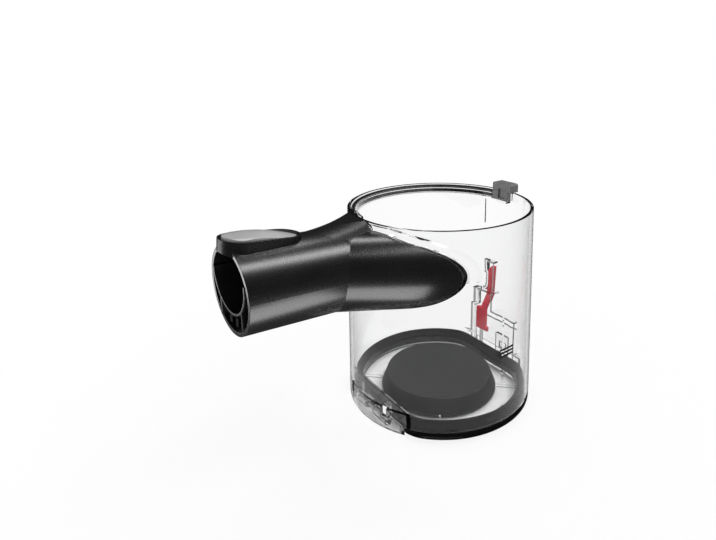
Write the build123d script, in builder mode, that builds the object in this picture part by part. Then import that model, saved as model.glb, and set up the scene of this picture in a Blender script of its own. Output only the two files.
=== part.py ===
from build123d import *
import math
import os

# Cyclone dust bin with a side inlet and a hinged base. Millimetres, +Z up.
# The origin is on the bin axis, on the underside of the base. The hinge is towards -Y.

# Bin wall, a cone that is a little wider at its foot
FOOT_R = 57.0
WALL_TAPER = 2.5
RIM_R = FOOT_R - WALL_TAPER
RIM_Z = 122.4
WALL = 2.0
SKIRT_Z = 2.0

# Base lid and its seal, a circle with two flats
LIP_GAP = 0.9
LID_R = FOOT_R - WALL - LIP_GAP
FRONT_DEPTH = 12.5
REAR_DEPTH = 10.6
CHORD_FRONT = FOOT_R - FRONT_DEPTH
CHORD_REAR = FOOT_R - REAR_DEPTH
LID_CORNER = 18.0
LID_FLOOR = 2.5
LID_PLATE_Z = 2.0
LID_PLATE_TOP = 3.4
TRAY_TOP = 8.4
ARM_TOP = 5.6
TRAY_OUT = -2.8
TRAY_IN = -4.6
FLAT_TRIM = 0.8
BAND_END_X = 27.0
SEAL_TOP = 6.0
SEAL_IN = -4.4
LIP_TOP = 12.6
LIP_BEVEL = 3.2
LID_GAP = 0.3
CHORD_GAP = 0.6
CHORD_WALL = 1.4
SHELF_Z = 14.0
FOOT_Z = SEAL_TOP + LID_GAP

# Centre pad on the base
PUCK_GAP = 7.9
PUCK_FOOT_R = CHORD_FRONT - PUCK_GAP
PUCK_DRAFT = 3.2
PUCK_TOP_R = PUCK_FOOT_R - PUCK_DRAFT
PUCK_TOP = 12.7
PUCK_EDGE = 0.8
PUCK_WALL = 2.2

# Base hinge
HINGE_DEPTH = 6.6
HINGE_Y = HINGE_DEPTH - FOOT_R
SKIRT_END = 1.8
HINGE_Z = 5.0
HINGE_PIN_R = 1.2
KNUCKLE_R = 2.5
KNUCKLE_IN = 4.0
KNUCKLE_OUT = 12.0
LUG_GAP = 0.4
LUG_W = 5.0
RUN_FIT = 0.06
SET_FIT = 0.02

# Rear pocket, slider groove and slider
POCKET_X0 = -19.5
POCKET_X1 = 19.5
POCKET_TOP = 37.0
SLIDER_POCKET_X0 = -17.2
SLIDER_POCKET_X1 = -2.4
SLIDER_POCKET_TOP = 49.5
GROOVE_DEPTH = 6.1
GROOVE_FLOOR_Y = FOOT_R - GROOVE_DEPTH
GROOVE_TOP = 71.5
SLIDER_LOW_X = -12.0
SLIDER_LOW_W = 8.4
SLIDER_TOP_X = -7.2
SLIDER_TOP_W = 6.4
SLIDER_LINK_W = 4.6
SLIDER_T = 2.4
SLIDER_Z0 = 20.6
SLIDER_Z1 = 36.5
SLIDER_BEND_Z = 47.5
SLIDER_Z2 = 69.0
SLIDER_SLANT = 4.4
SLIDER_GAP = 0.35
SLIDER_TRAVEL = 4.0
SLIDER_COILS = 8
GUIDE_T = 1.3
GUIDE_Z0 = 12.0
GUIDE_Z1 = SLIDER_Z1 - SLIDER_TRAVEL - 1.0
CATCH_X0 = 3.0
CATCH_X1 = 14.0
CATCH_T = 1.8
CATCH_TOP = 24.0

# Inlet: a straight tube, then a round-nosed duct turned along the wall
INLET_Z = 95.3
INLET_TURN = 3.2
INLET_TILT = 3.7
TUBE_R = 21.9
TUBE_WALL = 2.0
MOUTH_L = 131.0
ELBOW_L = 76.0
DUCT_TURN = 31.0
DUCT_FALL = 1.45
DUCT_R = 20.9
DUCT_DROP = -1.3
DUCT_STRAIGHT = 46.2
DUCT_NOSE = 34.9
GASKET_T = 0.8
GASKET_GAP = 0.1
RAIL_W = 3.4
RAIL_PROUD = 1.6
RAIL_GAP = 0.35
RAIL_DOWN = 0.4

# Fairing between the tube and the rim
FAIRING_L = (90.0, 72.0, 56.0, 40.0)
FAIRING_SHARE = (0.0, 0.36, 0.95, 1.8)
FAIRING_X = -7.3
FAIRING_Y = 0.55
FAIRING_WIDER = 4.2
FAIRING_TALLER = 4.0
FAIRING_TOP = RIM_Z + 0.9
FAIRING_ROOF = 1.15

# Raised pad on the tube, with the release button
PAD_L = MOUTH_L - 5.4
PAD_R = 10.0
PAD_TAIL_L = MOUTH_L - 27.0
PAD_TAIL_R = 9.0
PAD_FRONT_H = TUBE_R + 3.5
PAD_SLOPE = 3.4
PAD_RIM = 1.4
BUTTON_GAP = 0.5
POCKET_FLOOR = TUBE_R - 1.2
BUTTON_FLOOR = POCKET_FLOOR + 1.3
BUTTON_PIVOT_L = MOUTH_L - 19.0
BUTTON_PIVOT_H = BUTTON_FLOOR + 0.4
TRUNNION_R = 1.1
TRUNNION_IN = 0.7
TOOTH_L = MOUTH_L - 10.0
TOOTH_LEN = 3.0
TOOTH_W = 6.0
TOOTH_TIP = TUBE_R - TUBE_WALL - 1.3
BUTTON_SPRING_L = MOUTH_L - 27.0

# Trough in the mouth, which parts the air passage from the contacts below it
LINER_R = 18.2
LINER_WALL = 1.2
LINER_RISE = 6.6
LINER_L0 = MOUTH_L - 45.0
LINER_PROUD = 0.4
LINER_RIB = 1.2
LINER_RIB_X = 12.0

# Contacts and leads
CONTACT_A = -3.5
CONTACT_B = 3.5
CONTACT_UP = 7.1 - TUBE_R
CONTACT_W = 2.6
CONTACT_H = 4.2
CONTACT_FIT = 0.05
BLOCK_L1 = MOUTH_L - 4.0
BLOCK_L0 = BLOCK_L1 - 18.0
BLOCK_W = 15.0
LEAD_R = 1.05
LEAD_RING_R = RIM_R - 3.25
LEAD_Z_A = RIM_Z - 1.3
LEAD_Z_B = RIM_Z - 3.9
LEAD_LEAVE = -30.3
LEAD_GAP = 0.3
LEAD_RUN_A = 28.0
LEAD_RUN_B = 26.0
CHANNEL_IN = RIM_R - 5.7
CHANNEL_WALL = 1.2
CHANNEL_FLOOR = RIM_Z - 6.8
CHANNEL_TOP = RIM_Z - 1.2
CHANNEL_END = -9.3
CONNECTOR_X0 = -5.8
CONNECTOR_X1 = 7.4
CONNECTOR_CAP_X1 = 9.6
CONNECTOR_Z = RIM_Z - 5.6
CONNECTOR_TOP = RIM_Z + 5.5
CONNECTOR_EDGE = 1.4
RECESS_X0 = -0.8
RECESS_X1 = 5.4
RECESS_Z0 = RIM_Z - 4.2
RECESS_Z1 = RIM_Z + 1.8
RECESS_DEPTH = 1.2
CONNECTOR_IN = RIM_R - 5.6
CONNECTOR_OUT = RIM_R + 1.7
SLOT_Y = RIM_R - 2.0
SLOT_W = 2.6
SLOT_Z0 = RIM_Z - 4.4
SLOT_Z1 = RIM_Z + 2.1
CAP_SEAT = 0.6
RIB_Z = RIM_Z - 24.4
RIB_TURN = -163.7
SEAT_GAP = 0.1

TAPER = (FOOT_R - RIM_R) / (RIM_Z - FOOT_Z)
LOW_CENTRE = (Align.CENTER, Align.CENTER, Align.MIN)


def wall_radius(z):
    return FOOT_R - TAPER * (z - FOOT_Z)


def round_point(radius, angle, z):
    # The angle runs from -Y towards +X
    turn = math.radians(angle)
    return Vector(radius * math.sin(turn), -radius * math.cos(turn), z)


def block(xs, ys, zs, mode=Mode.ADD):
    with Locations(((xs[0] + xs[1]) / 2, (ys[0] + ys[1]) / 2, (zs[0] + zs[1]) / 2)):
        Box(xs[1] - xs[0], ys[1] - ys[0], zs[1] - zs[0], mode=mode)


def wall_cone(grow, z0, z1, mode=Mode.ADD):
    with Locations((0, 0, z0)):
        Cone(wall_radius(z0) + grow, wall_radius(z1) + grow, z1 - z0, align=LOW_CENTRE, mode=mode)


def x_rod(radius, x0, x1, y, z, mode=Mode.ADD):
    with Locations(Location(((x0 + x1) / 2, y, z), (0, 90, 0))):
        Cylinder(radius, x1 - x0, mode=mode)


def lid_outline(sketch, grow):
    Circle(LID_R + grow)
    with Locations((0, (CHORD_REAR - CHORD_FRONT) / 2)):
        Rectangle(4 * LID_R, CHORD_REAR + CHORD_FRONT + 2 * grow, mode=Mode.INTERSECT)
    fillet(sketch.vertices(), LID_CORNER + grow)


turn = math.radians(INLET_TURN)
tilt = math.radians(INLET_TILT)
inlet_axis = Vector(math.sin(turn) * math.cos(tilt), -math.cos(turn) * math.cos(tilt), math.sin(tilt))
inlet_across = Vector(math.cos(turn), math.sin(turn), 0)
# Inlet plane: local X across the tube, local Y up, local Z outwards along the tube
inlet_plane = Plane(origin=(0, 0, INLET_Z), x_dir=inlet_across, z_dir=inlet_axis)
inlet_up = inlet_plane.y_dir


def inlet_point(across, up, along):
    return inlet_plane.from_local_coords(Vector(across, up, along))


def inlet_block(across, up, along, mode=Mode.ADD):
    centre = ((across[0] + across[1]) / 2, (up[0] + up[1]) / 2, (along[0] + along[1]) / 2)
    with Locations(inlet_plane):
        with Locations(centre):
            Box(across[1] - across[0], up[1] - up[0], along[1] - along[0], mode=mode)


def inlet_rod(radius, up, l0, l1, mode=Mode.ADD, across=0):
    with Locations(inlet_plane):
        with Locations((across, up, l0)):
            Cylinder(radius, l1 - l0, align=LOW_CENTRE, mode=mode)


# The duct axis starts at the elbow, runs inwards turned from the tube by DUCT_TURN and falls a little
duct_start = inlet_point(0, DUCT_DROP, ELBOW_L)
duct_turn = math.radians(DUCT_TURN - INLET_TURN)
duct_fall = math.radians(DUCT_FALL)
duct_level = Vector(math.sin(duct_turn), math.cos(duct_turn), 0)
duct_axis = duct_level * math.cos(duct_fall) - Vector(0, 0, 1) * math.sin(duct_fall)
duct_plane = Plane(origin=duct_start, x_dir=duct_axis, z_dir=Vector(0, 0, 1).cross(duct_level))


def duct_shape(grow):
    with BuildSketch(duct_plane) as profile:
        with BuildLine():
            Line((0, 0), (0, DUCT_R + grow))
            Line((0, DUCT_R + grow), (DUCT_STRAIGHT, DUCT_R + grow))
            nose = (DUCT_NOSE + grow, DUCT_R + grow)
            EllipticalCenterArc((DUCT_STRAIGHT, 0), *nose, start_angle=0, arc_size=90)
            Line((DUCT_STRAIGHT + DUCT_NOSE + grow, 0), (0, 0))
        make_face()
    revolve(profile.sketch, axis=Axis(duct_start, duct_axis))


def fairing_shape(grow, top):
    # The sections widen slowly at the tube and faster towards the wall
    sections = []
    for along, share in zip(FAIRING_L, FAIRING_SHARE):
        with BuildSketch(inlet_plane.offset(along + grow)) as section:
            wide = TUBE_R - 0.2 + FAIRING_WIDER * share + grow
            tall = TUBE_R - 0.21 + FAIRING_TALLER * share + grow
            with Locations((FAIRING_X * share, FAIRING_Y * share)):
                Ellipse(wide, tall)
        sections.append(section.sketch.face())
    loft(sections)
    block((-90, 90), (-150, 20), (top, top + 60), mode=Mode.SUBTRACT)


# The mouth is cut upright, so its plane leans a little against the tube
mouth_plane = Plane(
    origin=inlet_point(0, 0, MOUTH_L), x_dir=inlet_across, z_dir=Vector(math.sin(turn), -math.cos(turn), 0)
)


def cut_mouth(proud):
    with Locations(mouth_plane):
        with Locations((0, 0, proud)):
            Box(6 * TUBE_R, 6 * TUBE_R, 40, align=LOW_CENTRE, mode=Mode.SUBTRACT)


# Helper solids for the inlet
with BuildPart() as duct_outer:
    duct_shape(0)

with BuildPart() as duct_inner:
    duct_shape(-TUBE_WALL)

with BuildPart() as duct_flange:
    duct_shape(RAIL_W)

with BuildPart() as duct_room:
    duct_shape(RAIL_GAP)

with BuildPart() as fairing_outer:
    fairing_shape(0, FAIRING_TOP)

with BuildPart() as fairing_inner:
    fairing_shape(-2.2, FAIRING_TOP - FAIRING_ROOF)

with BuildPart() as fairing_room:
    fairing_shape(RAIL_GAP, RIM_Z + 10)

with BuildPart() as inlet_void:
    inlet_rod(TUBE_R - TUBE_WALL, 0, ELBOW_L, MOUTH_L + 10)
    with Locations(inlet_point(0, 0, ELBOW_L)):
        Sphere(TUBE_R - TUBE_WALL)
    add(duct_inner.part)
    add(fairing_inner.part)

# Room for the leads where they enter the fairing
leave = math.radians(LEAD_LEAVE)
leave_dir = Vector(math.cos(leave), math.sin(leave), 0)
with BuildPart() as lead_room:
    for z in (LEAD_Z_A, LEAD_Z_B):
        with Locations(Plane(origin=round_point(LEAD_RING_R, LEAD_LEAVE, z), z_dir=leave_dir)):
            Cylinder(LEAD_R + LEAD_GAP, LEAD_RUN_B, align=LOW_CENTRE)

# Raised pad: the sketch plane slopes down towards the bin, local X runs outwards
pad_slope = math.radians(PAD_SLOPE)
pad_x = inlet_axis * math.cos(pad_slope) + inlet_up * math.sin(pad_slope)
pad_z = inlet_up * math.cos(pad_slope) - inlet_axis * math.sin(pad_slope)
pad_plane = Plane(origin=inlet_point(0, PAD_FRONT_H, MOUTH_L), x_dir=pad_x, z_dir=pad_z)


def pad_outline(grow):
    with Locations((PAD_L - MOUTH_L, 0)):
        Circle(PAD_R + grow)
    with Locations((PAD_TAIL_L - MOUTH_L, 0)):
        Circle(PAD_TAIL_R + grow)
    make_hull()


# The trunnions end inside the side walls of the pad
pad_mid_r = PAD_TAIL_R + (PAD_R - PAD_TAIL_R) * (BUTTON_PIVOT_L - PAD_TAIL_L) / (PAD_L - PAD_TAIL_L)
TRUNNION_END = pad_mid_r - PAD_RIM + TRUNNION_IN

with BuildPart() as pad_solid:
    with BuildSketch(pad_plane):
        pad_outline(0)
    extrude(amount=-9)
    inlet_block((-2 * PAD_R, 2 * PAD_R), (0, TUBE_R - 3.4), (MOUTH_L - 2, MOUTH_L + 20), mode=Mode.SUBTRACT)

with BuildPart() as pad_pocket:
    with BuildSketch(pad_plane.offset(6)):
        pad_outline(-PAD_RIM)
    extrude(amount=-20)
    inlet_block((-40, 40), (-20, POCKET_FLOOR), (60, 160), mode=Mode.SUBTRACT)

# Inlet moulding
with BuildPart() as inlet_duct:
    inlet_rod(TUBE_R, 0, ELBOW_L, MOUTH_L + 4)
    cut_mouth(0)
    with Locations(inlet_point(0, 0, ELBOW_L)):
        Sphere(TUBE_R)
    add(duct_outer.part)
    add(fairing_outer.part)
    add(pad_solid.part)
    add(inlet_void.part, mode=Mode.SUBTRACT)
    add(lead_room.part, mode=Mode.SUBTRACT)
    add(pad_pocket.part, mode=Mode.SUBTRACT)
    # Trunnion sockets, tooth slot and spring seat of the release button
    with Locations(inlet_plane):
        with Locations(Location((0, BUTTON_PIVOT_H, BUTTON_PIVOT_L), (0, 90, 0))):
            Cylinder(TRUNNION_R + RUN_FIT, 2 * (TRUNNION_END + 0.1), mode=Mode.SUBTRACT)
    inlet_block(
        (-TOOTH_W / 2 - 0.6, TOOTH_W / 2 + 0.6),
        (TUBE_R / 2, POCKET_FLOOR + 0.5),
        (TOOTH_L - 0.8, TOOTH_L + TOOTH_LEN + 1.0),
        mode=Mode.SUBTRACT,
    )
    wall_cone(GASKET_T + 2 * GASKET_GAP, SKIRT_Z, RIM_Z + 20, mode=Mode.SUBTRACT)
inlet_duct.part.label = "inlet_duct"

# Gasket between the inlet moulding and the bin wall
with BuildPart() as duct_gasket:
    with Locations(inlet_point(0, 0, ELBOW_L)):
        Sphere(TUBE_R)
    add(duct_outer.part)
    add(fairing_outer.part)
    add(inlet_void.part, mode=Mode.SUBTRACT)
    add(lead_room.part, mode=Mode.SUBTRACT)
    wall_cone(GASKET_T + GASKET_GAP, SKIRT_Z, RIM_Z + 20, mode=Mode.INTERSECT)
    wall_cone(GASKET_GAP, SKIRT_Z, RIM_Z + 20, mode=Mode.SUBTRACT)
duct_gasket.part.label = "duct_gasket"

# Trough in the mouth, with two upright ribs that stand on the tube's floor
with BuildPart() as inlet_liner:
    with BuildSketch(inlet_plane.offset(LINER_L0 + 4)):
        with Locations((-LINER_RIB_X, 0), (LINER_RIB_X, 0)):
            Rectangle(LINER_RIB, 2 * TUBE_R, align=(Align.CENTER, Align.MAX))
        Circle(TUBE_R - TUBE_WALL - SEAT_GAP, mode=Mode.INTERSECT)
    extrude(amount=MOUTH_L - LINER_L0)
    with BuildSketch(inlet_plane.offset(LINER_L0)):
        with Locations((0, LINER_RISE)):
            Circle(LINER_R)
        Circle(TUBE_R - TUBE_WALL - SEAT_GAP, mode=Mode.INTERSECT)
        with Locations((0, LINER_RISE + 1)):
            Rectangle(4 * TUBE_R, 2 * TUBE_R, align=(Align.CENTER, Align.MIN), mode=Mode.SUBTRACT)
    extrude(amount=MOUTH_L + 4 - LINER_L0)
    inlet_rod(LINER_R - LINER_WALL, LINER_RISE, LINER_L0 - 1, MOUTH_L + 8, mode=Mode.SUBTRACT)
    cut_mouth(LINER_PROUD)
inlet_liner.part.label = "inlet_liner"

# Contact carrier under the trough
with BuildPart() as contact_block:
    with BuildSketch(inlet_plane.offset(BLOCK_L0)):
        Circle(TUBE_R - TUBE_WALL - SEAT_GAP)
        with Locations((0, LINER_RISE)):
            Circle(LINER_R + SEAT_GAP, mode=Mode.SUBTRACT)
        Rectangle(BLOCK_W, 2 * TUBE_R, align=(Align.CENTER, Align.MAX), mode=Mode.INTERSECT)
    extrude(amount=BLOCK_L1 - BLOCK_L0)
    for across in (CONTACT_A, CONTACT_B):
        inlet_rod(0.9, CONTACT_UP, BLOCK_L0 - 1, BLOCK_L0 + 4, mode=Mode.SUBTRACT, across=across)
        inlet_block(
            (across - CONTACT_W / 2 - CONTACT_FIT, across + CONTACT_W / 2 + CONTACT_FIT),
            (CONTACT_UP - CONTACT_H / 2 - CONTACT_FIT, CONTACT_UP + CONTACT_H / 2 + CONTACT_FIT),
            (BLOCK_L0 + 4, BLOCK_L1 + 1),
            mode=Mode.SUBTRACT,
        )
contact_block.part.label = "contact_block"

with BuildPart() as contact_pins:
    for across in (CONTACT_A, CONTACT_B):
        inlet_block(
            (across - CONTACT_W / 2, across + CONTACT_W / 2),
            (CONTACT_UP - CONTACT_H / 2, CONTACT_UP + CONTACT_H / 2),
            (BLOCK_L0 + 4, BLOCK_L1 + 2.4),
        )
contact_pins.part.label = "contact_pins"

# Release button: a rocker with trunnions at its middle and a tooth for the plugged-in tube
CROWN_AXIS = TUBE_R - 12.9
with BuildPart() as button_crown:
    with BuildSketch(Plane(origin=inlet_plane.origin, x_dir=inlet_axis, z_dir=inlet_across * -1)):
        with BuildLine():
            back, front = (MOUTH_L - 37, TUBE_R - 0.5), (MOUTH_L + 5, TUBE_R + 4.6)
            crown = [(MOUTH_L - 26, TUBE_R + 2.8), (MOUTH_L - 15, TUBE_R + 5.0), (MOUTH_L - 5, TUBE_R + 5.6)]
            Spline(back, *crown, front)
            Polyline(front, (front[0], CROWN_AXIS), (back[0], CROWN_AXIS), back)
        make_face()
    revolve(axis=Axis(inlet_point(0, CROWN_AXIS, 0), inlet_axis))

with BuildPart() as release_button:
    with BuildSketch(pad_plane.offset(6)):
        pad_outline(-PAD_RIM - BUTTON_GAP)
    extrude(amount=-20)
    inlet_block((-40, 40), (-20, BUTTON_FLOOR), (60, 160), mode=Mode.SUBTRACT)
    add(button_crown.part, mode=Mode.INTERSECT)
    inlet_block(
        (-TOOTH_W / 2, TOOTH_W / 2), (TOOTH_TIP, BUTTON_FLOOR + 1), (TOOTH_L, TOOTH_L + TOOTH_LEN)
    )
    with Locations(inlet_plane):
        with Locations(Location((0, BUTTON_PIVOT_H, BUTTON_PIVOT_L), (0, 90, 0))):
            Cylinder(TRUNNION_R, 2 * TRUNNION_END)
        with Locations(Location((0, BUTTON_FLOOR + 1.6, BUTTON_SPRING_L), (90, 0, 0))):
            Cylinder(2.3, 3.2, align=LOW_CENTRE, mode=Mode.SUBTRACT)
release_button.part.label = "release_button"

spring_foot = inlet_point(0, POCKET_FLOOR + 0.25, BUTTON_SPRING_L)
with BuildPart() as button_spring:
    with BuildLine() as button_coil:
        Helix(0.75, 2.35, 1.85, center=spring_foot, direction=inlet_up)
    with BuildSketch(Plane(origin=button_coil.line @ 0, z_dir=button_coil.line % 0)):
        Circle(0.18)
    sweep()
button_spring.part.label = "button_spring"

# Leads: round the rim, out through the wall, down the fairing and along the tube to the contacts
RING_START = -175.3


def lead_path(z, run, corner_2, corner_3, corner_4, across):
    ring_end = round_point(LEAD_RING_R, LEAD_LEAVE, z)
    CenterArc((0, 0, z), LEAD_RING_R, RING_START + 270, LEAD_LEAVE - RING_START)
    FilletPolyline(
        ring_end,
        ring_end + leave_dir * run,
        inlet_point(*corner_2),
        inlet_point(*corner_3),
        inlet_point(*corner_4),
        inlet_point(across, CONTACT_UP, BLOCK_L0 - 0.5),
        radius=4.5,
    )


with BuildPart() as lead_upper:
    with BuildLine() as upper_path:
        corners = ((-17.5, 6, 70.5), (-14.5, -10.3, 80), (CONTACT_A, CONTACT_UP, 92))
        lead_path(LEAD_Z_A, LEAD_RUN_A, *corners, CONTACT_A)
    with BuildSketch(Plane(origin=upper_path.line @ 0, z_dir=upper_path.line % 0)):
        Circle(LEAD_R)
    sweep()
lead_upper.part.label = "lead_upper"

with BuildPart() as lead_lower:
    with BuildLine() as lower_path:
        corners = ((-17.5, 5, 65), (-14.5, -10.3, 74.5), (CONTACT_B, CONTACT_UP, 88))
        lead_path(LEAD_Z_B, LEAD_RUN_B, *corners, CONTACT_B)
    with BuildSketch(Plane(origin=lower_path.line @ 0, z_dir=lower_path.line % 0)):
        Circle(LEAD_R)
    sweep()
lead_lower.part.label = "lead_lower"

# Bush where the leads cross the wall
LEAD_Z_MID = (LEAD_Z_A + LEAD_Z_B) / 2
cross_start = math.sqrt((wall_radius(LEAD_Z_MID) - WALL - LEAD_R) ** 2 - LEAD_RING_R ** 2)
cross_end = math.sqrt((wall_radius(LEAD_Z_MID) + LEAD_R) ** 2 - LEAD_RING_R ** 2)
cross_point = round_point(LEAD_RING_R, LEAD_LEAVE, LEAD_Z_MID) + leave_dir * (cross_start + cross_end) / 2
cross_plane = Plane(origin=cross_point, x_dir=Vector(0, 0, 1).cross(leave_dir), z_dir=leave_dir)
BUSH_W = 4.0
BUSH_H = LEAD_Z_A - LEAD_Z_B + 2 * LEAD_R + 0.3
BUSH_LEN = cross_end - cross_start + 1.5

with BuildPart() as lead_grommet:
    with Locations(cross_plane):
        Box(BUSH_W, BUSH_H, BUSH_LEN)
        with Locations((0, (LEAD_Z_A - LEAD_Z_B) / 2, 0), (0, (LEAD_Z_B - LEAD_Z_A) / 2, 0)):
            Cylinder(LEAD_R + 0.05, BUSH_LEN + 2, mode=Mode.SUBTRACT)
    wall_cone(0, RIM_Z - 20, RIM_Z + 5, mode=Mode.INTERSECT)
    wall_cone(-WALL - 0.6, RIM_Z - 20, RIM_Z + 5, mode=Mode.SUBTRACT)
lead_grommet.part.label = "lead_grommet"

# Connector on the rim
with BuildPart() as connector_housing:
    block((CONNECTOR_X0, CONNECTOR_X1), (CONNECTOR_IN, CONNECTOR_OUT - 1.0), (CONNECTOR_Z, RIM_Z + 0.4))
    block((CONNECTOR_X0, CONNECTOR_CAP_X1), (CONNECTOR_IN + 0.3, CONNECTOR_OUT), (RIM_Z + 0.2, CONNECTOR_TOP))
    fillet(connector_housing.edges().filter_by(Axis.Y).group_by(Axis.Z)[-1], CONNECTOR_EDGE)
    # Recess in the face towards the bin
    block(
        (RECESS_X0, RECESS_X1),
        (CONNECTOR_IN - 1, CONNECTOR_IN + RECESS_DEPTH),
        (RECESS_Z0, RECESS_Z1),
        mode=Mode.SUBTRACT,
    )
    lead_y = math.sqrt(LEAD_RING_R ** 2 - CONNECTOR_X0 ** 2) + 0.1
    for z in (LEAD_Z_A, LEAD_Z_B):
        with Locations(Location((CONNECTOR_X0, lead_y, z), (0, 90, 0))):
            Cylinder(LEAD_R + 0.45, 8.6, mode=Mode.SUBTRACT)
    for x in (CONNECTOR_X0 + 3.5, CONNECTOR_X0 + 10.0):
        block((x - SLOT_W / 2, x + SLOT_W / 2), (SLOT_Y, RIM_R + 6), (SLOT_Z0, SLOT_Z1), mode=Mode.SUBTRACT)
connector_housing.part.label = "connector_housing"

with BuildPart() as connector_contacts:
    for x in (CONNECTOR_X0 + 3.5, CONNECTOR_X0 + 10.0):
        sides = (x - SLOT_W / 2 + 0.1, x + SLOT_W / 2 - 0.1)
        mid = (SLOT_Z0 + SLOT_Z1) / 2
        block(sides, (SLOT_Y, SLOT_Y + 0.8), (SLOT_Z0 + 0.1, SLOT_Z1 - 0.1))
        block(sides, (SLOT_Y + 0.7, SLOT_Y + 2.5), (mid - 0.4, mid + 0.4))
connector_contacts.part.label = "connector_contacts"

# Crimped ends of the leads
with BuildPart() as lead_terminals:
    for across in (CONTACT_A, CONTACT_B):
        inlet_rod(0.7, CONTACT_UP, BLOCK_L0 - 0.4, BLOCK_L0 + 3.9, across=across)
    for z in (LEAD_Z_A, LEAD_Z_B):
        end = round_point(LEAD_RING_R, RING_START - 0.1, z)
        with Locations(Plane(origin=end, z_dir=(-end.Y, end.X, 0))):
            Cylinder(0.7, 0.6, align=(Align.CENTER, Align.CENTER, Align.MAX))
lead_terminals.part.label = "lead_terminals"

# Rear pocket walls, inside the envelope of the bin
CHORD_IN_REAR = CHORD_REAR + CHORD_GAP
CHORD_OUT_REAR = CHORD_IN_REAR + CHORD_WALL
CHORD_IN_FRONT = CHORD_FRONT + CHORD_GAP
CHORD_OUT_FRONT = CHORD_IN_FRONT + CHORD_WALL
LOW_Y = CHORD_OUT_REAR + SLIDER_GAP
TOP_Y = GROOVE_FLOOR_Y + SLIDER_GAP
GROOVE_X0 = SLIDER_TOP_X - SLIDER_TOP_W / 2 - SLIDER_GAP
GROOVE_X1 = SLIDER_TOP_X + SLIDER_TOP_W / 2 + SLIDER_GAP

with BuildPart() as rear_walls:
    block((-60, 60), (CHORD_IN_REAR, 60), (FOOT_Z, SHELF_Z + CHORD_WALL))
    wall_cone(-WALL, SKIRT_Z, SHELF_Z, mode=Mode.SUBTRACT)
    block((-60, 60), (CHORD_IN_REAR, CHORD_OUT_REAR), (FOOT_Z, SHELF_Z + CHORD_WALL))
    block(
        (POCKET_X0 - CHORD_WALL, POCKET_X1 + CHORD_WALL),
        (CHORD_IN_REAR, 60),
        (FOOT_Z, POCKET_TOP + CHORD_WALL),
    )
    block(
        (SLIDER_POCKET_X0 - CHORD_WALL, SLIDER_POCKET_X1 + CHORD_WALL),
        (CHORD_IN_REAR, 60),
        (FOOT_Z, SLIDER_POCKET_TOP + CHORD_WALL),
    )
    block(
        (GROOVE_X0 - CHORD_WALL, GROOVE_X1 + CHORD_WALL),
        (GROOVE_FLOOR_Y - CHORD_WALL, 60),
        (SLIDER_POCKET_TOP, GROOVE_TOP + CHORD_WALL),
    )
    wall_cone(0, SKIRT_Z, RIM_Z, mode=Mode.INTERSECT)

# Hinge pocket at the front foot, open below
with BuildPart() as front_walls:
    block((-60, 60), (-60, -CHORD_IN_FRONT), (FOOT_Z, SHELF_Z + CHORD_WALL))
    wall_cone(-WALL, SKIRT_Z, SHELF_Z, mode=Mode.SUBTRACT)
    block((-60, 60), (-CHORD_OUT_FRONT, -CHORD_IN_FRONT), (FOOT_Z, SHELF_Z + CHORD_WALL))
    for x in (-KNUCKLE_OUT - LUG_GAP - LUG_W, KNUCKLE_OUT + LUG_GAP):
        x_rod(KNUCKLE_R, x, x + LUG_W, HINGE_Y, HINGE_Z)
        block((x, x + LUG_W), (HINGE_Y - KNUCKLE_R, HINGE_Y + KNUCKLE_R), (HINGE_Z, SHELF_Z + 1))
    wall_cone(0, 1, RIM_Z, mode=Mode.INTERSECT)

# Cable channel inside the rim
with BuildPart() as rim_channel:
    with BuildSketch(Plane.XY.offset(CHANNEL_FLOOR)):
        Circle(RIM_R)
        Circle(CHANNEL_IN, mode=Mode.SUBTRACT)
    extrude(amount=RIM_Z - CHANNEL_FLOOR)
    with BuildSketch(Plane.XY.offset(CHANNEL_FLOOR + CHANNEL_WALL)):
        Circle(RIM_R + 5)
        Circle(CHANNEL_IN + CHANNEL_WALL, mode=Mode.SUBTRACT)
    extrude(amount=RIM_Z, mode=Mode.SUBTRACT)
    # Keep the side from the connector round -X to the inlet
    with BuildSketch(Plane.XY.offset(CHANNEL_FLOOR - 1)):
        with BuildLine():
            start = round_point(90, CHANNEL_END, 0)
            far_side = ((-90, -90), (-90, 90), (CONNECTOR_X1, 90), (CONNECTOR_X1, 0))
            Polyline((0, 0), (start.X, start.Y), *far_side, close=True)
        make_face()
    extrude(amount=RIM_Z, mode=Mode.INTERSECT)
    # The inner wall of the channel stops a little under the rim
    with BuildSketch(Plane.XY.offset(CHANNEL_TOP)):
        Circle(CHANNEL_IN + CHANNEL_WALL + 0.1)
    extrude(amount=RIM_Z, mode=Mode.SUBTRACT)

# Clear rail on the wall over the duct
with BuildPart() as wall_rail:
    wall_cone(RAIL_PROUD, 60, RIM_Z - RAIL_DOWN)
    wall_cone(-WALL / 4, 50, RIM_Z + 2, mode=Mode.SUBTRACT)
    add(duct_flange.part, mode=Mode.INTERSECT)
    add(duct_room.part, mode=Mode.SUBTRACT)
    add(fairing_room.part, mode=Mode.SUBTRACT)
    inlet_block((-150, 0), (-150, 150), (-150, 150), mode=Mode.SUBTRACT)
    inlet_block((-150, 150), (-150, -2), (-150, 150), mode=Mode.SUBTRACT)

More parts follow.
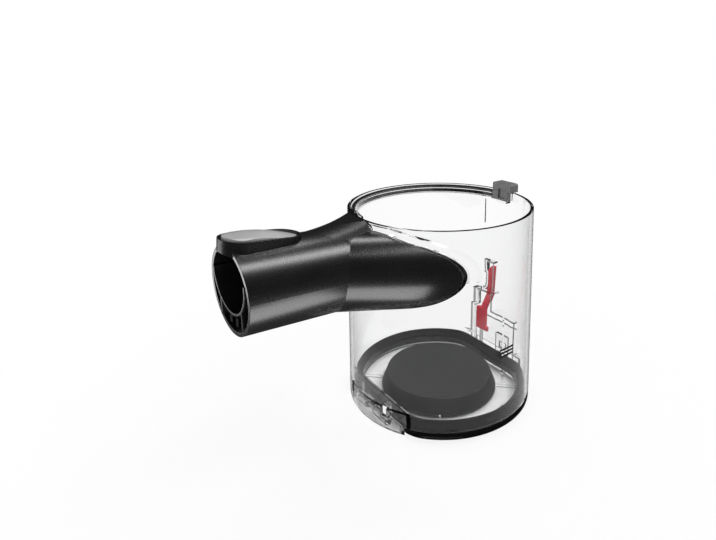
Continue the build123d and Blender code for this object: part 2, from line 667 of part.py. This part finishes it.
with BuildPart() as bin_body:
    wall_cone(0, SKIRT_Z, RIM_Z)
    wall_cone(-WALL, SKIRT_Z - 1, RIM_Z + 1, mode=Mode.SUBTRACT)
    block((-80, 80), (HINGE_Y + SKIRT_END, 80), (0, FOOT_Z), mode=Mode.SUBTRACT)
    add(rear_walls.part)
    add(front_walls.part)
    add(rim_channel.part)
    add(wall_rail.part)
    # Pockets of the release, open to the rear
    pocket_y = (CHORD_OUT_REAR, 70)
    groove_y = (GROOVE_FLOOR_Y, 70)
    block((POCKET_X0, POCKET_X1), pocket_y, (0, POCKET_TOP), mode=Mode.SUBTRACT)
    block((SLIDER_POCKET_X0, SLIDER_POCKET_X1), pocket_y, (0, SLIDER_POCKET_TOP), mode=Mode.SUBTRACT)
    block((GROOVE_X0, GROOVE_X1), groove_y, (SLIDER_POCKET_TOP - 1, GROOVE_TOP), mode=Mode.SUBTRACT)
    # Seat of the slider spring
    block(
        (POCKET_X0 - 1, SLIDER_LOW_X + SLIDER_LOW_W / 2),
        (CHORD_OUT_REAR - 1, LOW_Y + SLIDER_T),
        (FOOT_Z, FOOT_Z + CHORD_WALL),
    )
    # Inlet opening, lead crossing, connector notch and hinge holes
    add(duct_inner.part, mode=Mode.SUBTRACT)
    with Locations(cross_plane):
        with Locations((0, 1, 0)):
            Box(BUSH_W + 0.2, BUSH_H + 2.2, BUSH_LEN + 0.2, mode=Mode.SUBTRACT)
    notch_y = (CONNECTOR_IN - 1.9, RIM_R + 6)
    notch_x = (CONNECTOR_X0 - 0.15, CONNECTOR_X1 + 0.15)
    block(notch_x, notch_y, (CONNECTOR_Z - 0.1, RIM_Z + 1), mode=Mode.SUBTRACT)
    block((CONNECTOR_X1, CONNECTOR_CAP_X1 + 0.15), notch_y, (RIM_Z - CAP_SEAT, RIM_Z + 1), mode=Mode.SUBTRACT)
    x_rod(HINGE_PIN_R + SET_FIT, -20, 20, HINGE_Y, HINGE_Z, mode=Mode.SUBTRACT)
    # Rib under the channel beside the connector
    with Locations(Location((0, 0, RIB_Z), (0, 0, RIB_TURN))):
        with Locations((0, -wall_radius(RIB_Z + 8) + WALL + 0.2, 0)):
            Box(3.0, 2.4, CHANNEL_FLOOR - RIB_Z + 0.5, align=LOW_CENTRE)
bin_body.part.label = "bin_body"

# Slider guide: a clear plate that closes the pocket, with the nib of the catch
GUIDE_Y = LOW_Y + SLIDER_T + SLIDER_GAP
catch_y = CHORD_OUT_REAR + 0.5
with BuildPart() as slider_guide:
    block((POCKET_X0 + 0.1, POCKET_X1 - 0.1), (GUIDE_Y, GUIDE_Y + GUIDE_T), (GUIDE_Z0, GUIDE_Z1))
    block((CATCH_X0 + 3, CATCH_X1 - 3), (catch_y + CATCH_T + 0.3, GUIDE_Y + 0.5), (14.5, 18.0))
    wall_cone(0, SKIRT_Z, RIM_Z, mode=Mode.INTERSECT)
slider_guide.part.label = "slider_guide"

# Red slider: lower block in the pocket, link, upper strip in the groove
with BuildPart() as release_slider:
    block(
        (SLIDER_LOW_X - SLIDER_LOW_W / 2, SLIDER_LOW_X + SLIDER_LOW_W / 2),
        (LOW_Y, LOW_Y + SLIDER_T),
        (SLIDER_Z0, SLIDER_Z1),
    )
    foot_x = SLIDER_LOW_X + SLIDER_LOW_W / 2
    block((SLIDER_LOW_X, foot_x + 2.0), (LOW_Y + 0.3, LOW_Y + SLIDER_T - 0.3), (SLIDER_Z0, SLIDER_Z0 + 3))
    # Link outwards and sideways between the block and the strip
    with BuildSketch(Plane.XY.offset(SLIDER_Z1 - 0.01)):
        with Locations((foot_x - SLIDER_LINK_W / 2, LOW_Y + SLIDER_T / 2)):
            Rectangle(SLIDER_LINK_W, SLIDER_T)
    with BuildSketch(Plane.XY.offset(SLIDER_BEND_Z)):
        with Locations((SLIDER_TOP_X, TOP_Y + SLIDER_T / 2)):
            Rectangle(SLIDER_LINK_W, SLIDER_T)
    loft()
    # The strip widens upwards, and its top end is cut on the slant
    with BuildSketch(Plane.XZ.offset(-TOP_Y)):
        with BuildLine():
            Polyline(
                (SLIDER_TOP_X - SLIDER_LINK_W / 2, SLIDER_BEND_Z - 0.01),
                (SLIDER_TOP_X + SLIDER_LINK_W / 2, SLIDER_BEND_Z - 0.01),
                (SLIDER_TOP_X + SLIDER_TOP_W / 2, SLIDER_Z2),
                (SLIDER_TOP_X - SLIDER_TOP_W / 2 + SLIDER_SLANT, SLIDER_Z2),
                (SLIDER_TOP_X - SLIDER_TOP_W / 2, SLIDER_Z2 - SLIDER_SLANT),
                close=True,
            )
        make_face()
    extrude(amount=-SLIDER_T)
    with Locations(Location((SLIDER_TOP_X, TOP_Y + SLIDER_T, SLIDER_BEND_Z + 2.2), (90, 0, 0))):
        Cylinder(1.2, 2.0, mode=Mode.SUBTRACT)
release_slider.part.label = "release_slider"

slider_coil_l = SLIDER_Z0 - FOOT_Z - CHORD_WALL - 0.6
slider_coil_foot = (SLIDER_LOW_X, LOW_Y + SLIDER_T / 2, FOOT_Z + CHORD_WALL + 0.3)
with BuildPart() as slider_spring:
    with BuildLine() as slider_coil:
        Helix(slider_coil_l / SLIDER_COILS, slider_coil_l, 1.15, center=slider_coil_foot)
    with BuildSketch(Plane(origin=slider_coil.line @ 0, z_dir=slider_coil.line % 0)):
        Circle(0.24)
    sweep()
slider_spring.part.label = "slider_spring"

# The rim of the lid and its seal leave room for the hinge at the front flat
def trim_front():
    front = -CHORD_FRONT - FLAT_TRIM
    block((-BAND_END_X, BAND_END_X), (-2 * FOOT_R, front), (0, LIP_TOP + 5), mode=Mode.SUBTRACT)
    block((-2 * FOOT_R, 2 * FOOT_R), (-2 * FOOT_R, front - 1.6), (0, LIP_TOP + 5), mode=Mode.SUBTRACT)


# Base lid: tray, plate under the seal, hinge knuckles and catch tongue
with BuildPart() as base_lid:
    with BuildSketch(Plane.XY.offset(LID_PLATE_Z)) as lid_plate:
        lid_outline(lid_plate, FOOT_R - LID_R)
    extrude(amount=LID_PLATE_TOP - LID_PLATE_Z)
    trim_front()
    with BuildSketch(Plane.XY) as tray_out:
        lid_outline(tray_out, TRAY_OUT)
    extrude(amount=TRAY_TOP)
    with BuildSketch(Plane.XY.offset(LID_FLOOR)) as tray_in:
        lid_outline(tray_in, TRAY_IN)
    extrude(amount=10, mode=Mode.SUBTRACT)
    # Ring that centres the pad and four radial ribs on the floor
    with BuildSketch(Plane.XY.offset(LID_FLOOR - 0.5)):
        Circle(PUCK_TOP_R - PUCK_WALL - 0.3)
        Circle(PUCK_TOP_R - PUCK_WALL - 1.5, mode=Mode.SUBTRACT)
    extrude(amount=3.5)
    for angle in (52.2, 135.2, -127.8, -43.8):
        with Locations(Location((0, 0, LID_FLOOR - 0.5), (0, 0, angle))):
            with Locations((0, -(PUCK_FOOT_R + 0.6), 0)):
                Box(0.9, LID_R + TRAY_IN - PUCK_FOOT_R, 2.2, align=(Align.CENTER, Align.MAX, Align.MIN))
    for x in (-KNUCKLE_OUT, KNUCKLE_IN):
        width = KNUCKLE_OUT - KNUCKLE_IN
        x_rod(KNUCKLE_R, x, x + width, HINGE_Y, HINGE_Z)
        block((x, x + width), (HINGE_Y, -CHORD_FRONT - FLAT_TRIM), (LID_PLATE_Z, ARM_TOP))
        block((x, x + width), (HINGE_Y, -CHORD_FRONT), (LID_PLATE_Z, LID_PLATE_TOP))
    x_rod(HINGE_PIN_R + RUN_FIT, -20, 20, HINGE_Y, HINGE_Z, mode=Mode.SUBTRACT)
    block((CATCH_X0, CATCH_X1), (CHORD_REAR + TRAY_OUT, catch_y + CATCH_T), (LID_PLATE_Z, LID_PLATE_TOP))
    block((CATCH_X0, CATCH_X1), (catch_y, catch_y + CATCH_T), (LID_PLATE_Z, CATCH_TOP))
    window_x = (CATCH_X0 + 2.4, CATCH_X1 - 2.4)
    block(window_x, (catch_y - 1, catch_y + CATCH_T + 1), (14.0, 18.6), mode=Mode.SUBTRACT)
base_lid.part.label = "base_lid"

# Lid seal: ring with an outer band and an upright lip, trimmed at both flats
with BuildPart() as lid_seal:
    with BuildSketch(Plane.XY.offset(LID_PLATE_TOP)) as band_out:
        lid_outline(band_out, FOOT_R - LID_R)
    extrude(amount=SEAL_TOP - LID_PLATE_TOP)
    with BuildSketch(Plane.XY.offset(SEAL_TOP)) as lip_out:
        lid_outline(lip_out, 0)
    extrude(amount=LIP_TOP - SEAL_TOP)
    with BuildSketch(Plane.XY.offset(LID_PLATE_TOP)) as band_in:
        lid_outline(band_in, TRAY_OUT)
    extrude(amount=TRAY_TOP - LID_PLATE_TOP, mode=Mode.SUBTRACT)
    with BuildSketch(Plane.XY.offset(LID_PLATE_TOP)) as lip_in:
        lid_outline(lip_in, SEAL_IN)
    extrude(amount=20, mode=Mode.SUBTRACT)
    top_edges = lid_seal.faces().sort_by(Axis.Z)[-1].inner_wires()[0].edges()
    chamfer(top_edges, LIP_BEVEL)
    trim_front()
    block((-80, 80), (CHORD_REAR + FLAT_TRIM, 80), (0, 20), mode=Mode.SUBTRACT)
lid_seal.part.label = "lid_seal"

# Centre pad: a hollow cap with a slanted side, a rounded edge and a slightly dished top
with BuildPart() as lid_puck:
    with BuildSketch(Plane.XZ):
        with BuildLine():
            edge_in = (PUCK_TOP_R - PUCK_EDGE, PUCK_TOP)
            edge_out = (PUCK_TOP_R, PUCK_TOP - PUCK_EDGE)
            RadiusArc(edge_in, edge_out, PUCK_EDGE)
            Polyline(
                edge_out,
                (PUCK_FOOT_R, LID_FLOOR + 1.6),
                (PUCK_FOOT_R, LID_FLOOR),
                (PUCK_FOOT_R - PUCK_WALL, LID_FLOOR),
                (PUCK_TOP_R - PUCK_WALL, PUCK_TOP - 3.0),
                (6.0, PUCK_TOP - 3.2),
                (6.0, LID_FLOOR),
                (0, LID_FLOOR),
                (0, PUCK_TOP - 0.6),
                (PUCK_TOP_R - 3.0, PUCK_TOP),
                edge_in,
            )
        make_face()
    revolve(axis=Axis.Z)
lid_puck.part.label = "lid_puck"

with BuildPart() as hinge_pin:
    x_rod(HINGE_PIN_R, -KNUCKLE_OUT - LUG_GAP - LUG_W, KNUCKLE_OUT + LUG_GAP + LUG_W, HINGE_Y, HINGE_Z)
hinge_pin.part.label = "hinge_pin"

os.makedirs("parts", exist_ok=True)
export_step(bin_body.part, "parts/bin_body.step")
export_step(inlet_duct.part, "parts/inlet_duct.step")
export_step(duct_gasket.part, "parts/duct_gasket.step")
export_step(inlet_liner.part, "parts/inlet_liner.step")
export_step(contact_block.part, "parts/contact_block.step")
export_step(contact_pins.part, "parts/contact_pins.step")
export_step(release_button.part, "parts/release_button.step")
export_step(button_spring.part, "parts/button_spring.step")
export_step(lead_upper.part, "parts/lead_upper.step")
export_step(lead_lower.part, "parts/lead_lower.step")
export_step(lead_grommet.part, "parts/lead_grommet.step")
export_step(lead_terminals.part, "parts/lead_terminals.step")
export_step(connector_housing.part, "parts/connector_housing.step")
export_step(connector_contacts.part, "parts/connector_contacts.step")
export_step(slider_guide.part, "parts/slider_guide.step")
export_step(release_slider.part, "parts/release_slider.step")
export_step(slider_spring.part, "parts/slider_spring.step")
export_step(base_lid.part, "parts/base_lid.step")
export_step(lid_seal.part, "parts/lid_seal.step")
export_step(lid_puck.part, "parts/lid_puck.step")
export_step(hinge_pin.part, "parts/hinge_pin.step")
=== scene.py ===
import math

import bpy
from mathutils import Matrix, Vector


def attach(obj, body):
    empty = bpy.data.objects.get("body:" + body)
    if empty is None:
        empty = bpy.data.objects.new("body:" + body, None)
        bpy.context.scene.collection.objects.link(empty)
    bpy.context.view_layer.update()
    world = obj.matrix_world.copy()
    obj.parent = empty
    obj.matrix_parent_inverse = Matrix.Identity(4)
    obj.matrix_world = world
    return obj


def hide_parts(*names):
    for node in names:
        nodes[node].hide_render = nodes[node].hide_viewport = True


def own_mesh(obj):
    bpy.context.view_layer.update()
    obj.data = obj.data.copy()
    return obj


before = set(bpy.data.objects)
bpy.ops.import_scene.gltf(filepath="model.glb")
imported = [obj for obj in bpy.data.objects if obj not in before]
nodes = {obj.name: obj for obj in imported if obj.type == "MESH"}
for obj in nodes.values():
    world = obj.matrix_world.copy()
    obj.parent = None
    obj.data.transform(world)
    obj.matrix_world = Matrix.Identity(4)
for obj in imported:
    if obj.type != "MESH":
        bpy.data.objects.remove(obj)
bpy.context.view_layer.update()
scene = bpy.context.scene
scene.view_settings.view_transform = "Standard"


# Materials


def new_material(name):
    mat = bpy.data.materials.new(name)
    mat.use_nodes = True
    tree = mat.node_tree
    tree.nodes.clear()
    out = tree.nodes.new("ShaderNodeOutputMaterial")
    bsdf = tree.nodes.new("ShaderNodeBsdfPrincipled")
    tree.links.new(bsdf.outputs["BSDF"], out.inputs["Surface"])
    return mat, tree, bsdf


def noise(tree, scale, detail=4.0, stretch=(1, 1, 1)):
    coord = tree.nodes.new("ShaderNodeTexCoord")
    mapping = tree.nodes.new("ShaderNodeMapping")
    mapping.inputs["Scale"].default_value = stretch
    tex = tree.nodes.new("ShaderNodeTexNoise")
    tex.inputs["Scale"].default_value = scale
    tex.inputs["Detail"].default_value = detail
    tree.links.new(coord.outputs["Object"], mapping.inputs["Vector"])
    tree.links.new(mapping.outputs["Vector"], tex.inputs["Vector"])
    return tex.outputs["Fac"]


def spread(tree, value, low, high):
    ramp = tree.nodes.new("ShaderNodeMapRange")
    ramp.inputs["From Min"].default_value = 0.3
    ramp.inputs["From Max"].default_value = 0.7
    ramp.inputs["To Min"].default_value = low
    ramp.inputs["To Max"].default_value = high
    tree.links.new(value, ramp.inputs["Value"])
    return ramp.outputs["Result"]


def tint(tree, value, dark, light):
    ramp = tree.nodes.new("ShaderNodeValToRGB")
    ramp.color_ramp.elements[0].position = 0.3
    ramp.color_ramp.elements[1].position = 0.7
    ramp.color_ramp.elements[0].color = (*dark, 1)
    ramp.color_ramp.elements[1].color = (*light, 1)
    tree.links.new(value, ramp.inputs["Fac"])
    return ramp.outputs["Color"]


def bump(tree, bsdf, value, strength, distance, edge=0.0):
    node = tree.nodes.new("ShaderNodeBump")
    node.inputs["Strength"].default_value = strength
    node.inputs["Distance"].default_value = distance
    tree.links.new(value, node.inputs["Height"])
    if edge:
        bevel = tree.nodes.new("ShaderNodeBevel")
        bevel.samples = 6
        bevel.inputs["Radius"].default_value = edge
        tree.links.new(bevel.outputs["Normal"], node.inputs["Normal"])
    tree.links.new(node.outputs["Normal"], bsdf.inputs["Normal"])


def plastic(name, dark, light, rough, grain, depth, edge=0.0003, stretch=(1, 1, 1), ior=1.5):
    mat, tree, bsdf = new_material(name)
    bsdf.inputs["IOR"].default_value = ior
    coarse = noise(tree, 45.0, 3.0, stretch)
    fine = noise(tree, grain, 3.0, stretch)
    tree.links.new(tint(tree, coarse, dark, light), bsdf.inputs["Base Color"])
    tree.links.new(spread(tree, fine, rough[0], rough[1]), bsdf.inputs["Roughness"])
    bump(tree, bsdf, fine, 0.25, depth, edge)
    return mat


def clear_plastic(name, colour, dense):
    mat, tree, bsdf = new_material(name)
    bsdf.inputs["Base Color"].default_value = (*colour, 1)
    bsdf.inputs["Transmission Weight"].default_value = 1.0
    bsdf.inputs["IOR"].default_value = 1.42
    bsdf.inputs["Specular IOR Level"].default_value = 0.15
    flow = noise(tree, 20.0, 2.0, (1, 1, 0.25))
    tree.links.new(spread(tree, flow, 0.0, 0.03), bsdf.inputs["Roughness"])
    bump(tree, bsdf, flow, 0.03, 0.0002)
    # The plastic takes a little light on its way, which greys the edges
    inside = tree.nodes.new("ShaderNodeVolumeAbsorption")
    inside.inputs["Color"].default_value = (0.30, 0.31, 0.32, 1)
    inside.inputs["Density"].default_value = dense
    out = tree.nodes["Material Output"]
    tree.links.new(inside.outputs["Volume"], out.inputs["Volume"])
    return mat


def metal(name, dark, light, rough):
    mat, tree, bsdf = new_material(name)
    bsdf.inputs["Metallic"].default_value = 1.0
    fine = noise(tree, 900.0, 3.0, (1, 8, 8))
    tree.links.new(tint(tree, fine, dark, light), bsdf.inputs["Base Color"])
    tree.links.new(spread(tree, fine, rough[0], rough[1]), bsdf.inputs["Roughness"])
    bump(tree, bsdf, fine, 0.1, 0.00005)
    return mat


clear = clear_plastic("clear", (0.996, 0.997, 0.998), 3.0)
inlet_black = plastic(
    "inlet_black", (0.004, 0.004, 0.0043), (0.007, 0.007, 0.0073), (0.26, 0.31), 1200.0, 0.00002, ior=1.9
)
inner_black = plastic(
    "inner_black", (0.004, 0.004, 0.004), (0.008, 0.008, 0.008), (0.3, 0.4), 1500.0, 0.00003
)
socket_grey = plastic("socket_grey", (0.15, 0.15, 0.15), (0.20, 0.20, 0.20), (0.2, 0.3), 1500.0, 0.00002)
seal_black = plastic(
    "seal_rubber", (0.003, 0.003, 0.003), (0.006, 0.006, 0.006), (0.45, 0.6), 2500.0, 0.00004, ior=1.22
)
puck_grey = plastic(
    "puck_grey", (0.016, 0.016, 0.0165), (0.022, 0.022, 0.0225), (0.45, 0.5), 900.0, 0.000002, ior=1.36
)
slider_red = plastic(
    "slider_red", (0.80, 0.004, 0.035), (0.90, 0.008, 0.045), (0.4, 0.5), 1500.0, 0.00003, ior=1.35
)
button_grey = plastic("button_grey", (0.34, 0.34, 0.34), (0.46, 0.46, 0.46), (0.12, 0.2), 1500.0, 0.00002)
lead_black = plastic(
    "lead_black", (0.006, 0.006, 0.006), (0.012, 0.012, 0.012), (0.35, 0.45), 2500.0, 0.00003
)
steel = metal("steel", (0.30, 0.30, 0.31), (0.45, 0.45, 0.46), (0.25, 0.4))
contact_metal = metal("contact_metal", (0.14, 0.135, 0.12), (0.22, 0.21, 0.19), (0.3, 0.45))
print_black = plastic(
    "print_black", (0.010, 0.010, 0.010), (0.016, 0.016, 0.016), (0.4, 0.5), 2500.0, 0.00001, edge=0
)

finishes = {
    clear: ("bin_body", "base_lid", "slider_guide"),
    inlet_black: ("inlet_duct",),
    inner_black: ("inlet_liner", "contact_block"),
    socket_grey: ("connector_housing",),
    seal_black: ("lid_seal", "duct_gasket", "lead_grommet"),
    puck_grey: ("lid_puck",),
    slider_red: ("release_slider",),
    button_grey: ("release_button",),
    lead_black: ("lead_upper", "lead_lower"),
    steel: ("hinge_pin", "slider_spring", "button_spring"),
    contact_metal: ("contact_pins", "connector_contacts", "lead_terminals"),
}
for mat, names in finishes.items():
    for name in names:
        obj = nodes[name]
        obj.data.materials.clear()
        obj.data.materials.append(mat)

# Light passes the clear pieces unhindered, as it does through thin polycarbonate
for name in finishes[clear]:
    nodes[name].visible_shadow = False


# Printed fill stripes on the outside of the wall, in millimetres
FOOT_R, RIM_R, FOOT_Z, RIM_Z = 57.0, 54.5, 6.3, 122.4
STRIPE_H = 1.2
STRIPE_FIRST, STRIPE_LAST = 87.2, 98.2
STRIPE_LIFTS = (0.03, 0.08)


def wall_radius(z):
    return FOOT_R + (RIM_R - FOOT_R) * (z - FOOT_Z) / (RIM_Z - FOOT_Z)


def fill_stripe(name, z, height, first, last):
    verts, faces = [], []
    steps = 16
    for k in range(steps + 1):
        angle = math.radians(first + (last - first) * k / steps)
        for level in (z - height / 2, z + height / 2):
            for lift in STRIPE_LIFTS:
                r = wall_radius(level) + lift
                verts.append((r * math.sin(angle) / 1000, -r * math.cos(angle) / 1000, level / 1000))
    for k in range(steps):
        a, b = 4 * k, 4 * k + 4
        faces += [(a + 1, b + 1, b + 3, a + 3), (a, a + 2, b + 2, b)]
        faces += [(a + 2, a + 3, b + 3, b + 2), (a, b, b + 1, a + 1)]
    end = 4 * steps
    faces += [(0, 1, 3, 2), (end, end + 2, end + 3, end + 1)]
    mesh = bpy.data.meshes.new(name)
    mesh.from_pydata(verts, [], faces)
    obj = bpy.data.objects.new(name, mesh)
    scene.collection.objects.link(obj)
    mesh.materials.append(print_black)
    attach(obj, "bin")


for index, z in enumerate((51.3, 49.3, 47.2)):
    fill_stripe("fill_stripe_%d" % (index + 1), z, STRIPE_H, STRIPE_FIRST, STRIPE_LAST)


# Drawn springs: copies of the spring pieces that ride with the bin, in place of the hidden originals
def live_spring(node):
    coil = bpy.data.objects.new(node + "_coil", nodes[node].data.copy())
    scene.collection.objects.link(coil)
    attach(coil, "bin")
    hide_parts(node)
    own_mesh(coil)


live_spring("slider_spring")
live_spring("button_spring")


# Stage: a pale floor, white where it is seen, directly or through the clear wall
def maths(tree, operation, first, second):
    node = tree.nodes.new("ShaderNodeMath")
    node.operation = operation
    for socket, value in zip(node.inputs, (first, second)):
        if isinstance(value, float):
            socket.default_value = value
        else:
            tree.links.new(value, socket)
    return node.outputs[0]


def unmirrored(tree, path):
    # What a surface inside mirrors through the clear wall shows weaker than what is seen through it
    turned = maths(tree, "GREATER_THAN", path.outputs["Glossy Depth"], 0.5)
    crossed = maths(tree, "GREATER_THAN", path.outputs["Transmission Depth"], 3.5)
    mirrored = maths(tree, "MULTIPLY", turned, crossed)
    return maths(tree, "SUBTRACT", 1.0, maths(tree, "MULTIPLY", mirrored, 0.7))


LID_REACH = 0.0575
SHADOW_END = 0.30
SHADOW_SHARE = 0.15
FLOOR_HALF = 4
FLOOR_Z = -0.0003


def stage_material(name):
    mat = bpy.data.materials.new(name)
    mat.use_nodes = True
    tree = mat.node_tree
    tree.nodes.clear()
    out = tree.nodes.new("ShaderNodeOutputMaterial")
    matt = tree.nodes.new("ShaderNodeBsdfDiffuse")
    matt.inputs["Color"].default_value = (0.86, 0.86, 0.86, 1)
    path = tree.nodes.new("ShaderNodeLightPath")
    # Under the lid the floor keeps its shade for rays through the clear plastic
    coord = tree.nodes.new("ShaderNodeTexCoord")
    reach = tree.nodes.new("ShaderNodeVectorMath")
    reach.operation = "LENGTH"
    tree.links.new(coord.outputs["Object"], reach.inputs[0])
    clear_of_lid = maths(tree, "GREATER_THAN", reach.outputs["Value"], LID_REACH)
    through = maths(tree, "MULTIPLY", path.outputs["Is Transmission Ray"], clear_of_lid)
    seen = maths(tree, "MAXIMUM", path.outputs["Is Camera Ray"], through)
    bright = maths(tree, "MULTIPLY", seen, unmirrored(tree, path))
    # Near the bin the floor keeps a faint shadow, which fades out with distance
    fade = maths(tree, "MULTIPLY", maths(tree, "SUBTRACT", SHADOW_END, reach.outputs["Value"]), 5.0)
    near = maths(tree, "MINIMUM", maths(tree, "MAXIMUM", fade, 0.0), 1.0)
    share = maths(tree, "SUBTRACT", 1.0, maths(tree, "MULTIPLY", near, SHADOW_SHARE))
    lit = maths(tree, "MAXIMUM", maths(tree, "MULTIPLY", path.outputs["Is Camera Ray"], share), through)
    # A ray through clear plastic counts as glossy too
    unbent = maths(tree, "SUBTRACT", 1.0, path.outputs["Is Transmission Ray"])
    mirrored = maths(tree, "MULTIPLY", path.outputs["Is Glossy Ray"], unbent)
    dim = maths(tree, "MULTIPLY", mirrored, 0.05)
    glow = tree.nodes.new("ShaderNodeEmission")
    tree.links.new(maths(tree, "MAXIMUM", bright, dim), glow.inputs["Strength"])
    mix = tree.nodes.new("ShaderNodeMixShader")
    tree.links.new(maths(tree, "MAXIMUM", lit, mirrored), mix.inputs["Fac"])
    tree.links.new(matt.outputs["BSDF"], mix.inputs[1])
    tree.links.new(glow.outputs["Emission"], mix.inputs[2])
    tree.links.new(mix.outputs["Shader"], out.inputs["Surface"])
    return mat


floor_mesh = bpy.data.meshes.new("floor")
corners = ((-1, -1), (1, -1), (1, 1), (-1, 1))
floor_mesh.from_pydata([(x * FLOOR_HALF, y * FLOOR_HALF, FLOOR_Z) for x, y in corners], [], [(0, 1, 2, 3)])
floor = bpy.data.objects.new("floor", floor_mesh)
floor_mesh.materials.append(stage_material("stage_white"))
scene.collection.objects.link(floor)

# World: a dark room in reflections, a soft grey one as light, white where it is seen
world = bpy.data.worlds.new("studio")
scene.world = world
world.use_nodes = True
tree = world.node_tree
tree.nodes.clear()
out = tree.nodes.new("ShaderNodeOutputWorld")
soft = tree.nodes.new("ShaderNodeBackground")
soft.inputs["Color"].default_value = (1, 1, 1, 1)
soft.inputs["Strength"].default_value = 0.7
dark = tree.nodes.new("ShaderNodeBackground")
dark.inputs["Color"].default_value = (1, 1, 1, 1)
dark.inputs["Strength"].default_value = 0.03
seen = tree.nodes.new("ShaderNodeBackground")
seen.inputs["Color"].default_value = (1, 1, 1, 1)
seen.inputs["Strength"].default_value = 1.0
path = tree.nodes.new("ShaderNodeLightPath")
room = tree.nodes.new("ShaderNodeMixShader")
tree.links.new(path.outputs["Is Glossy Ray"], room.inputs["Fac"])
tree.links.new(soft.outputs["Background"], room.inputs[1])
tree.links.new(dark.outputs["Background"], room.inputs[2])
mix = tree.nodes.new("ShaderNodeMixShader")
seen_ray = maths(tree, "MAXIMUM", path.outputs["Is Camera Ray"], path.outputs["Is Transmission Ray"])
tree.links.new(maths(tree, "MULTIPLY", seen_ray, unmirrored(tree, path)), mix.inputs["Fac"])
tree.links.new(room.outputs["Shader"], mix.inputs[1])
tree.links.new(seen.outputs["Background"], mix.inputs[2])
tree.links.new(mix.outputs["Shader"], out.inputs["Surface"])


# Lamps
def soft_box(name, target, direction, distance, along, length, width, power, lit=()):
    back = Vector(direction).normalized()
    x = Vector(along) - back * back.dot(Vector(along))
    x.normalize()
    y = back.cross(x)
    place = Vector(target) + back * distance
    data = bpy.data.lights.new(name, "AREA")
    data.shape = "RECTANGLE"
    data.size = length
    data.size_y = width
    data.energy = power
    lamp = bpy.data.objects.new(name, data)
    lamp.matrix_world = Matrix(
        ((x.x, y.x, back.x, place.x), (x.y, y.y, back.y, place.y), (x.z, y.z, back.z, place.z), (0, 0, 0, 1))
    )
    # A lamp with named pieces lights those alone and stays out of sight
    if lit:
        lamp.visible_camera = False
        lamp.visible_transmission = False
        receivers = bpy.data.collections.new("lit_by_" + name)
        for piece in lit:
            receivers.objects.link(nodes[piece])
        lamp.light_linking.receiver_collection = receivers
    scene.collection.objects.link(lamp)


tube_mid = (0.006, -0.1055, 0.115)
tube_dir = (0.0557, -0.9964, 0.0645)
inlet = ("inlet_duct", "inlet_liner")
soft_box("key", tube_mid, (0.29, 0.49, 0.82), 0.9, tube_dir, 0.6, 0.22, 2.5)
soft_box("rear", (0.022, -0.06, 0.119), (-0.38, 0.27, 0.88), 1.0, (0.45, 0.88, 0.0), 0.45, 0.24, 1.6)
soft_box("edge", (0.034, -0.052, 0.115), (0.35, -0.05, 0.93), 1.0, (-0.49, 0.85, 0.2), 0.28, 0.03, 0.2)
soft_box(
    "low", (0.030, -0.108, 0.098), (0.55, -0.02, -0.75), 0.062, (0.15, 0.98, 0.0), 0.12, 0.05, 0.05, inlet
)
soft_box("side", (0.006, -0.13, 0.097), (-0.72, -0.64, 0.0), 0.6, (0.0, 0.0, 1.0), 0.3, 0.5, 0.7)
soft_box(
    "mouth", (0.014, -0.13, 0.09), (-0.72, -0.636, -0.276), 0.25, (0.66, -0.75, 0.0), 0.2, 0.07, 0.15, inlet
)


# Camera at the photograph's place
def set_camera():
    place = Vector((0.24742, -0.20251, 0.20867))
    forward = Vector((-0.7868, 0.5520, -0.2761)).normalized()
    level = forward.cross(Vector((0, 0, 1))).normalized()
    upright = level.cross(forward)
    roll = -0.0139
    right = level * math.cos(roll) + upright * math.sin(roll)
    up = upright * math.cos(roll) - level * math.sin(roll)
    back = -forward
    data = bpy.data.cameras.new("camera")
    data.lens = 28.03
    data.sensor_width = 36.0
    data.shift_x = -0.0582
    data.shift_y = -0.0801
    data.clip_start = 0.005
    data.clip_end = 50.0
    cam = bpy.data.objects.new("camera", data)
    cam.matrix_world = Matrix(
        (
            (right.x, up.x, back.x, place.x),
            (right.y, up.y, back.y, place.y),
            (right.z, up.z, back.z, place.z),
            (0, 0, 0, 1),
        )
    )
    scene.collection.objects.link(cam)
    scene.camera = cam


set_camera()
